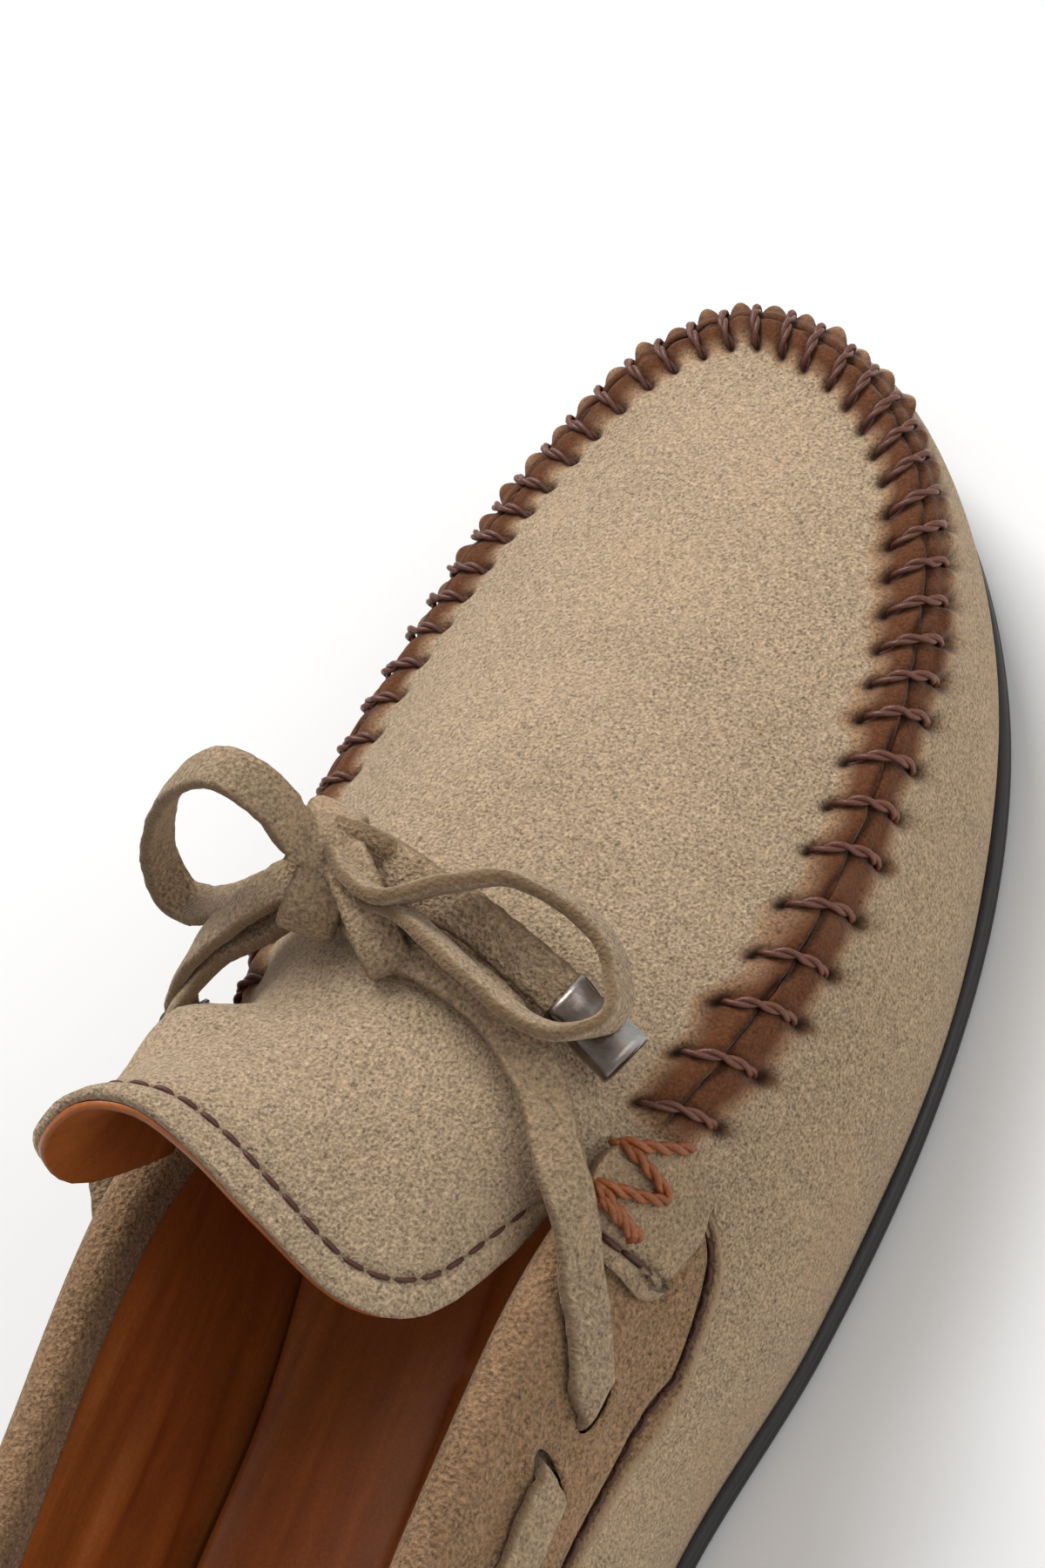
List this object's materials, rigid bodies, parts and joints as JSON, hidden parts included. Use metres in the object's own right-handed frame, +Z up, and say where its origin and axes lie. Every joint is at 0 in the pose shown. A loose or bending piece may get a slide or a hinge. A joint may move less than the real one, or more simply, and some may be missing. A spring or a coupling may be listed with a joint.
{
  "type": "laced moccasin",
  "caption": "Right-foot suede moccasin with a hand-sewn apron, a flaring tongue, a leather lining, a thin rubber sole and a suede lace tied in a bow.",
  "frame": {"origin": "middle of the outsole's flat ground face", "axes": "+Z up, +Y towards the toe, +X towards the wearer's right, the outer side of this right shoe"},
  "size_m": [0.0998, 0.2916, 0.099],
  "materials": {
    "rubber_sole": "matt black rubber",
    "board": "pressed fibre board",
    "foam": "open-cell foam",
    "lining_leather": "smooth orange-brown lining leather, satin",
    "suede": "taupe suede, fine nap",
    "collar_suede": "taupe suede, coarse nap",
    "lace_suede": "suede lace, fuzzy edges",
    "waxed_thread": "waxed brown plied thread",
    "ear_thread": "waxed orange-brown plied thread",
    "fine_thread": "dark brown machine thread",
    "gunmetal": "folded gunmetal sheet"
  },
  "bodies": {
    "shoe": {"outsole": "rubber_sole", "insole_board": "board", "footbed_foam": "foam", "sock_liner": "lining_leather", "side_wall": "suede", "wall_lining": "lining_leather", "heel_counter": "board", "apron_plug": "suede", "plug_lining": "lining_leather", "collar_band_outer": "collar_suede", "collar_band_inner": "collar_suede", "heel_tab": "collar_suede", "ear_tab_outer": "suede", "ear_tab_inner": "suede", "apron_stitches": "waxed_thread", "ear_stitches_outer": "ear_thread", "ear_stitches_inner": "ear_thread", "collar_thread_outer": "fine_thread", "collar_thread_inner": "fine_thread", "collar_lace_outer": "lace_suede", "collar_lace_inner": "lace_suede", "lace_outer": "lace_suede", "lace_inner": "lace_suede", "bow_loop_outer": "lace_suede", "bow_loop_inner": "lace_suede", "lace_tail_outer": "lace_suede", "lace_tail_inner": "lace_suede", "bow_knot": "lace_suede", "aglet_outer": "gunmetal", "aglet_inner": "gunmetal"},
    "tongue": {"tongue_flap": "suede", "tongue_lining": "lining_leather", "tongue_thread": "fine_thread"}
  },
  "joints": [
    {"name": "tongue_flex", "type": "hinge", "parent": "shoe", "child": "tongue", "pos_m": [0, 0.006, 0.072], "axis": [1, 0, 0], "range_deg": [0, 8], "stiffness_Nm_per_rad": 0.05, "springref_deg": -5.73}
  ]
}
